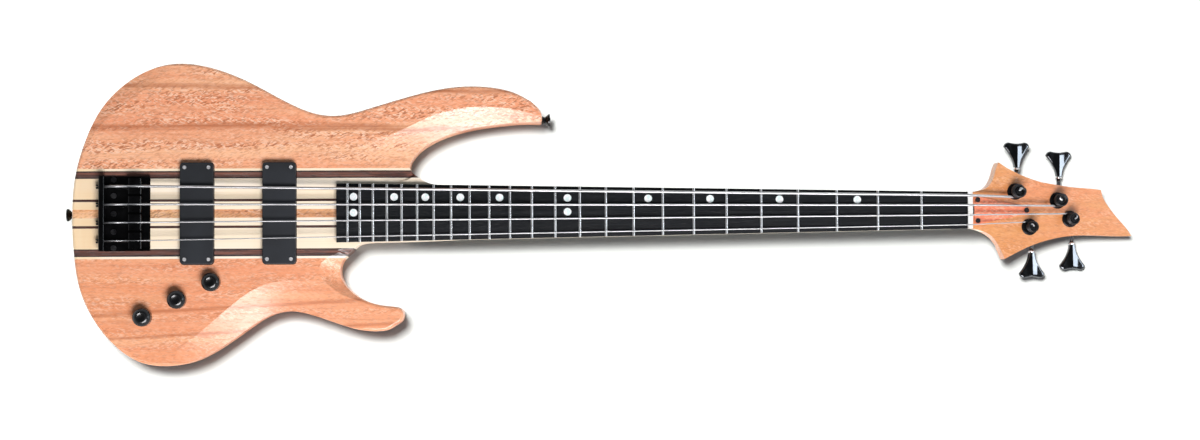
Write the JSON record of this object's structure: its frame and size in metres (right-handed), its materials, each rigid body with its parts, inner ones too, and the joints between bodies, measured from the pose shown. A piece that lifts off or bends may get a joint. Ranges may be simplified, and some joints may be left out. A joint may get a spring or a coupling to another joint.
{
  "type": "electric bass guitar",
  "caption": "Solid-body electric bass guitar with a striped neck running through a carved body, an angled headstock, geared tuners and turning controls.",
  "frame": {"origin": "on the back face, on the centreline, under the bridge end of the scale length", "axes": "+X along the neck towards the headstock, +Y towards the bass side, +Z out of the front"},
  "size_m": [1.1232, 0.3149, 0.0598],
  "materials": {
    "mahogany": "satin oiled",
    "maple": "satin oiled",
    "rosewood": "satin oiled",
    "ebony": "satin",
    "fret_metal": "polished",
    "pearl": "pearly",
    "bone": "polished",
    "steel": "plain",
    "black_screw": "black plated",
    "bright_screw": "bright",
    "black_chrome": "glossy black plated",
    "string": "wound",
    "black_metal": "satin black",
    "pickup_plastic": "satin black",
    "coil": "taped",
    "foam": "open cell",
    "knob": "glossy black",
    "pot": "plain",
    "cover_plastic": "satin black",
    "battery_wrap": "plain wrap",
    "wire": "sheathed"
  },
  "bodies": {
    "guitar": {"upper_wing": "mahogany", "lower_wing": "mahogany", "headstock_face": "mahogany", "headstock_ears": "mahogany", "truss_rod_cover": "mahogany", "neck_center_strip": "mahogany", "neck_inner_maple_strips": "maple", "neck_outer_maple_strips": "maple", "core_edge_maple_strips": "maple", "neck_dark_veneers": "rosewood", "core_rosewood_strips": "rosewood", "fretboard": "ebony", "fret_wires": "fret_metal", "position_dots": "pearl", "nut": "bone", "truss_rod": "steel", "cover_screws": "black_screw", "bridge_screws": "black_screw", "tuner_screws": "black_screw", "pickup_screws": "bright_screw", "tuner_housings": "black_chrome", "tuner_bushings": "black_chrome", "string_e": "string", "string_a": "string", "string_d": "string", "string_g": "string", "bridge_base": "black_metal", "jack_plate": "black_metal", "strap_buttons": "black_metal", "bridge_pickup_cover": "pickup_plastic", "neck_pickup_cover": "pickup_plastic", "pickup_coils": "coil", "pickup_foam": "foam", "control_pots": "pot", "pot_nuts": "pot", "jack_socket": "pot", "control_cover": "cover_plastic", "battery": "battery_wrap", "wiring": "wire"},
    "knob_1": {"control_knob_1": "knob"},
    "knob_2": {"control_knob_2": "knob"},
    "knob_3": {"control_knob_3": "knob"},
    "key_e": {"tuner_key_e": "black_chrome"},
    "post_e": {"tuner_post_e": "black_chrome"},
    "key_a": {"tuner_key_a": "black_chrome"},
    "post_a": {"tuner_post_a": "black_chrome"},
    "key_d": {"tuner_key_d": "black_chrome"},
    "post_d": {"tuner_post_d": "black_chrome"},
    "key_g": {"tuner_key_g": "black_chrome"},
    "post_g": {"tuner_post_g": "black_chrome"},
    "screw_e": {"intonation_screw_e": "black_metal"},
    "saddle_e": {"saddle_e": "black_metal"},
    "screw_a": {"intonation_screw_a": "black_metal"},
    "saddle_a": {"saddle_a": "black_metal"},
    "screw_d": {"intonation_screw_d": "black_metal"},
    "saddle_d": {"saddle_d": "black_metal"},
    "screw_g": {"intonation_screw_g": "black_metal"},
    "saddle_g": {"saddle_g": "black_metal"},
    "rod_nut": {"truss_rod_nut": "steel"}
  },
  "joints": [
    {"name": "knob_1_turn", "type": "hinge", "parent": "guitar", "child": "knob_1", "pos_m": [0.0748, -0.0713, 0.0448], "axis": [0, 0, 1], "range_deg": [-150, 150]},
    {"name": "knob_2_turn", "type": "hinge", "parent": "guitar", "child": "knob_2", "pos_m": [0.0395, -0.0892, 0.0448], "axis": [0, 0, 1], "range_deg": [-150, 150]},
    {"name": "knob_3_turn", "type": "hinge", "parent": "guitar", "child": "knob_3", "pos_m": [0.004, -0.1073, 0.0448], "axis": [0, 0, 1], "range_deg": [-150, 150]},
    {"name": "key_e_turn", "type": "hinge", "parent": "guitar", "child": "key_e", "pos_m": [0.92262, 0.0199, 0.01621], "axis": [0, 1, 0], "continuous": true},
    {"name": "post_e_turn", "type": "hinge", "parent": "guitar", "child": "post_e", "pos_m": [0.9167, 0.0199, 0.03638], "axis": [0.1564, 0, 0.9877], "continuous": true, "deforming": ["string_e"]},
    {"name": "key_a_turn", "type": "hinge", "parent": "guitar", "child": "key_a", "pos_m": [0.96904, 0.0106, 0.00886], "axis": [0, 1, 0], "continuous": true},
    {"name": "post_a_turn", "type": "hinge", "parent": "guitar", "child": "post_a", "pos_m": [0.96312, 0.0106, 0.02903], "axis": [0.1564, 0, 0.9877], "continuous": true, "deforming": ["string_a"]},
    {"name": "key_d_turn", "type": "hinge", "parent": "guitar", "child": "key_d", "pos_m": [0.98257, -0.0089, 0.00671], "axis": [0, 1, 0], "continuous": true},
    {"name": "post_d_turn", "type": "hinge", "parent": "guitar", "child": "post_d", "pos_m": [0.97665, -0.0089, 0.02689], "axis": [0.1564, 0, 0.9877], "continuous": true, "deforming": ["string_d"]},
    {"name": "key_g_turn", "type": "hinge", "parent": "guitar", "child": "key_g", "pos_m": [0.93783, -0.0174, 0.0138], "axis": [0, 1, 0], "continuous": true},
    {"name": "post_g_turn", "type": "hinge", "parent": "guitar", "child": "post_g", "pos_m": [0.93191, -0.0174, 0.03397], "axis": [0.1564, 0, 0.9877], "continuous": true, "deforming": ["string_g"]},
    {"name": "intonation_e_turn", "type": "hinge", "parent": "guitar", "child": "screw_e", "pos_m": [-0.0403, 0.0282, 0.0485], "axis": [1, 0, 0], "continuous": true},
    {"name": "saddle_e_slide", "type": "slide", "parent": "guitar", "child": "saddle_e", "axis": [1, 0, 0], "range_m": [-0.003, 0.005]},
    {"name": "intonation_a_turn", "type": "hinge", "parent": "guitar", "child": "screw_a", "pos_m": [-0.0403, 0.0094, 0.0485], "axis": [1, 0, 0], "continuous": true},
    {"name": "saddle_a_slide", "type": "slide", "parent": "guitar", "child": "saddle_a", "axis": [1, 0, 0], "range_m": [-0.003, 0.005]},
    {"name": "intonation_d_turn", "type": "hinge", "parent": "guitar", "child": "screw_d", "pos_m": [-0.0403, -0.0094, 0.0485], "axis": [1, 0, 0], "continuous": true},
    {"name": "saddle_d_slide", "type": "slide", "parent": "guitar", "child": "saddle_d", "axis": [1, 0, 0], "range_m": [-0.003, 0.005]},
    {"name": "intonation_g_turn", "type": "hinge", "parent": "guitar", "child": "screw_g", "pos_m": [-0.0403, -0.0282, 0.0485], "axis": [1, 0, 0], "continuous": true},
    {"name": "saddle_g_slide", "type": "slide", "parent": "guitar", "child": "saddle_g", "axis": [1, 0, 0], "range_m": [-0.003, 0.005]},
    {"name": "truss_rod_nut_turn", "type": "hinge", "parent": "guitar", "child": "rod_nut", "pos_m": [0.8706, 0, 0.036], "axis": [1, 0, 0], "range_deg": [-180, 180]}
  ],
  "couplings": [
    {"joint": "post_e_turn", "follows": "key_e_turn", "ratio": -0.05},
    {"joint": "post_a_turn", "follows": "key_a_turn", "ratio": -0.05},
    {"joint": "post_d_turn", "follows": "key_d_turn", "ratio": -0.05},
    {"joint": "post_g_turn", "follows": "key_g_turn", "ratio": -0.05},
    {"joint": "intonation_e_turn", "follows": "saddle_e_slide", "rad_per_m": -8976},
    {"joint": "intonation_a_turn", "follows": "saddle_a_slide", "rad_per_m": -8976},
    {"joint": "intonation_d_turn", "follows": "saddle_d_slide", "rad_per_m": -8976},
    {"joint": "intonation_g_turn", "follows": "saddle_g_slide", "rad_per_m": -8976}
  ]
}
